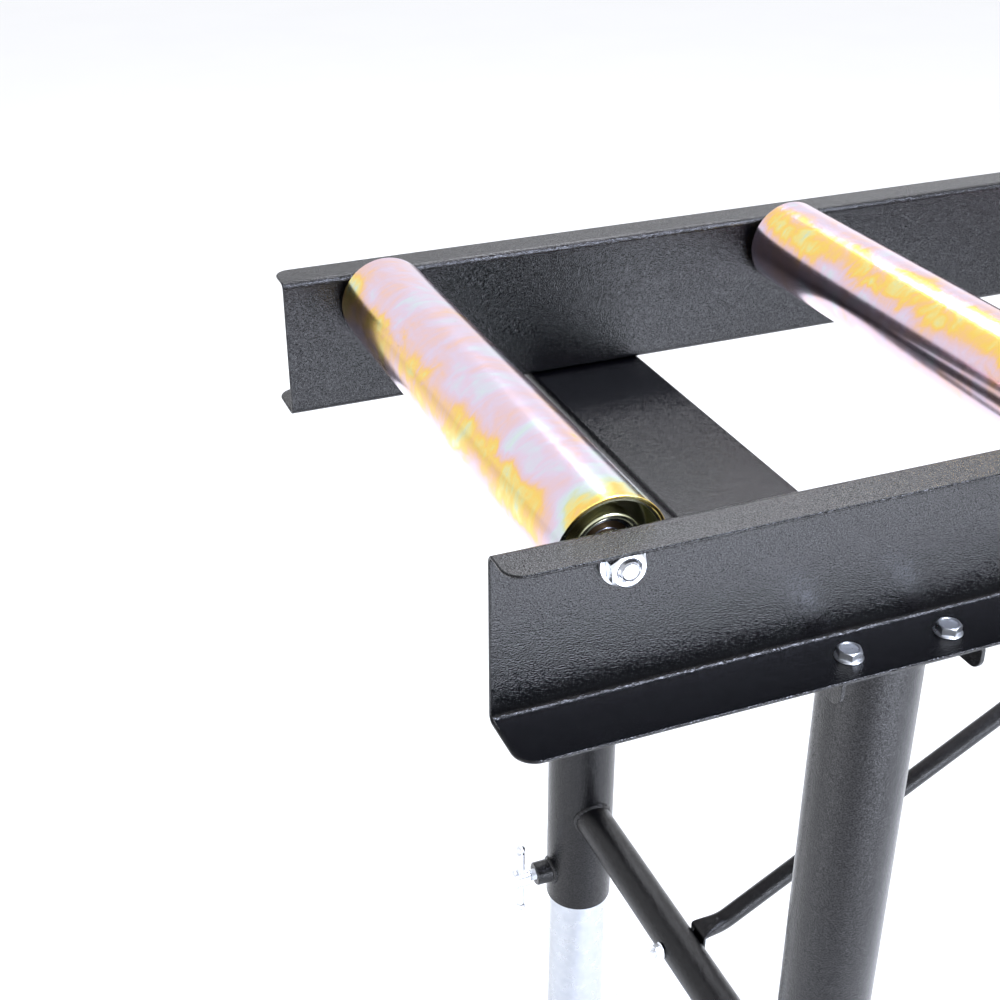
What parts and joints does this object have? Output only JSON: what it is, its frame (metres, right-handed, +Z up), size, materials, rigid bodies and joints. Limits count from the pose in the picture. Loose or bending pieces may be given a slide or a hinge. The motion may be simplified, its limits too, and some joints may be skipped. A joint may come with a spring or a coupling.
{
  "type": "outfeed table",
  "caption": "Roller outfeed table: folded C rails, zinc-plated rollers on ball bearings, cross brackets, braces, and telescopic round legs with clamp screws.",
  "frame": {"origin": "on the floor under the middle of the table", "axes": "+X along the table, +Y across it towards the back rail, +Z up"},
  "size_m": [1.982, 0.4444, 0.8],
  "materials": {
    "powder_coat": "fine-texture satin powder coat",
    "yellow_zinc": "bright yellow-chromate zinc plating",
    "white_zinc": "bright clear zinc plating",
    "bearing_steel": "ground bearing steel",
    "brass": "turned"
  },
  "bodies": {
    "frame": {"front_rail": "powder_coat", "back_rail": "powder_coat", "left_bracket": "powder_coat", "centre_bracket": "powder_coat", "right_bracket": "powder_coat", "sleeve_front_left": "powder_coat", "sleeve_back_left": "powder_coat", "sleeve_front_right": "powder_coat", "sleeve_back_right": "powder_coat", "left_cross_tube": "powder_coat", "right_cross_tube": "powder_coat", "left_brace": "powder_coat", "right_brace": "powder_coat", "flange_bolts": "white_zinc", "brace_bolts": "white_zinc", "flange_nuts": "white_zinc", "clamp_bosses": "powder_coat", "axles": "bearing_steel", "axle_nuts": "white_zinc", "axle_washers": "white_zinc", "axle_spacers": "bearing_steel", "bearing_inner_rings": "bearing_steel", "bearing_balls": "bearing_steel"},
    "roller_1": {"roller_1_tube": "yellow_zinc", "roller_1_cups": "yellow_zinc", "roller_1_outer_rings": "bearing_steel"},
    "roller_2": {"roller_2_tube": "yellow_zinc", "roller_2_cups": "yellow_zinc", "roller_2_outer_rings": "bearing_steel"},
    "roller_3": {"roller_3_tube": "yellow_zinc", "roller_3_cups": "yellow_zinc", "roller_3_outer_rings": "bearing_steel"},
    "roller_4": {"roller_4_tube": "yellow_zinc", "roller_4_cups": "yellow_zinc", "roller_4_outer_rings": "bearing_steel"},
    "roller_5": {"roller_5_tube": "yellow_zinc", "roller_5_cups": "yellow_zinc", "roller_5_outer_rings": "bearing_steel"},
    "roller_6": {"roller_6_tube": "yellow_zinc", "roller_6_cups": "yellow_zinc", "roller_6_outer_rings": "bearing_steel"},
    "roller_7": {"roller_7_tube": "yellow_zinc", "roller_7_cups": "yellow_zinc", "roller_7_outer_rings": "bearing_steel"},
    "inner_leg_front_left": {"leg_front_left": "white_zinc", "foot_front_left": "white_zinc"},
    "inner_leg_back_left": {"leg_back_left": "white_zinc", "foot_back_left": "white_zinc"},
    "inner_leg_front_right": {"leg_front_right": "white_zinc", "foot_front_right": "white_zinc"},
    "inner_leg_back_right": {"leg_back_right": "white_zinc", "foot_back_right": "white_zinc"},
    "pad_front_left": {"clamp_pad_front_left": "brass"},
    "screw_front_left": {"clamp_screw_front_left": "white_zinc"},
    "pad_back_left": {"clamp_pad_back_left": "brass"},
    "screw_back_left": {"clamp_screw_back_left": "white_zinc"},
    "pad_front_right": {"clamp_pad_front_right": "brass"},
    "screw_front_right": {"clamp_screw_front_right": "white_zinc"},
    "pad_back_right": {"clamp_pad_back_right": "brass"},
    "screw_back_right": {"clamp_screw_back_right": "white_zinc"}
  },
  "joints": [
    {"name": "roller_1_spin", "type": "hinge", "parent": "frame", "child": "roller_1", "pos_m": [-0.924, 0, 0.77], "axis": [0, 1, 0], "continuous": true},
    {"name": "roller_2_spin", "type": "hinge", "parent": "frame", "child": "roller_2", "pos_m": [-0.616, 0, 0.77], "axis": [0, 1, 0], "continuous": true},
    {"name": "roller_3_spin", "type": "hinge", "parent": "frame", "child": "roller_3", "pos_m": [-0.308, 0, 0.77], "axis": [0, 1, 0], "continuous": true},
    {"name": "roller_4_spin", "type": "hinge", "parent": "frame", "child": "roller_4", "pos_m": [0, 0, 0.77], "axis": [0, 1, 0], "continuous": true},
    {"name": "roller_5_spin", "type": "hinge", "parent": "frame", "child": "roller_5", "pos_m": [0.308, 0, 0.77], "axis": [0, 1, 0], "continuous": true},
    {"name": "roller_6_spin", "type": "hinge", "parent": "frame", "child": "roller_6", "pos_m": [0.616, 0, 0.77], "axis": [0, 1, 0], "continuous": true},
    {"name": "roller_7_spin", "type": "hinge", "parent": "frame", "child": "roller_7", "pos_m": [0.924, 0, 0.77], "axis": [0, 1, 0], "continuous": true},
    {"name": "leg_slide_front_left", "type": "slide", "parent": "frame", "child": "inner_leg_front_left", "axis": [0, 0, -1], "range_m": [-0.15, 0.15]},
    {"name": "leg_slide_back_left", "type": "slide", "parent": "frame", "child": "inner_leg_back_left", "axis": [0, 0, -1], "range_m": [-0.15, 0.15]},
    {"name": "leg_slide_front_right", "type": "slide", "parent": "frame", "child": "inner_leg_front_right", "axis": [0, 0, -1], "range_m": [-0.15, 0.15]},
    {"name": "leg_slide_back_right", "type": "slide", "parent": "frame", "child": "inner_leg_back_right", "axis": [0, 0, -1], "range_m": [-0.15, 0.15]},
    {"name": "clamp_travel_front_left", "type": "slide", "parent": "frame", "child": "pad_front_left", "axis": [-1, 0, 0], "range_m": [0, 0.003]},
    {"name": "clamp_turn_front_left", "type": "hinge", "parent": "pad_front_left", "child": "screw_front_left", "pos_m": [-0.7675, -0.1795, 0.2212], "axis": [-1, 0, 0], "range_deg": [0, 720]},
    {"name": "clamp_travel_back_left", "type": "slide", "parent": "frame", "child": "pad_back_left", "axis": [-1, 0, 0], "range_m": [0, 0.003]},
    {"name": "clamp_turn_back_left", "type": "hinge", "parent": "pad_back_left", "child": "screw_back_left", "pos_m": [-0.7675, 0.1795, 0.2212], "axis": [-1, 0, 0], "range_deg": [0, 720]},
    {"name": "clamp_travel_front_right", "type": "slide", "parent": "frame", "child": "pad_front_right", "axis": [1, 0, 0], "range_m": [0, 0.003]},
    {"name": "clamp_turn_front_right", "type": "hinge", "parent": "pad_front_right", "child": "screw_front_right", "pos_m": [0.7675, -0.1795, 0.2212], "axis": [1, 0, 0], "range_deg": [0, 720]},
    {"name": "clamp_travel_back_right", "type": "slide", "parent": "frame", "child": "pad_back_right", "axis": [1, 0, 0], "range_m": [0, 0.003]},
    {"name": "clamp_turn_back_right", "type": "hinge", "parent": "pad_back_right", "child": "screw_back_right", "pos_m": [0.7675, 0.1795, 0.2212], "axis": [1, 0, 0], "range_deg": [0, 720]}
  ],
  "couplings": [
    {"joint": "clamp_travel_front_left", "follows": "clamp_turn_front_left", "m_per_rad": 0.00023873},
    {"joint": "clamp_travel_back_left", "follows": "clamp_turn_back_left", "m_per_rad": 0.00023873},
    {"joint": "clamp_travel_front_right", "follows": "clamp_turn_front_right", "m_per_rad": 0.00023873},
    {"joint": "clamp_travel_back_right", "follows": "clamp_turn_back_right", "m_per_rad": 0.00023873}
  ]
}
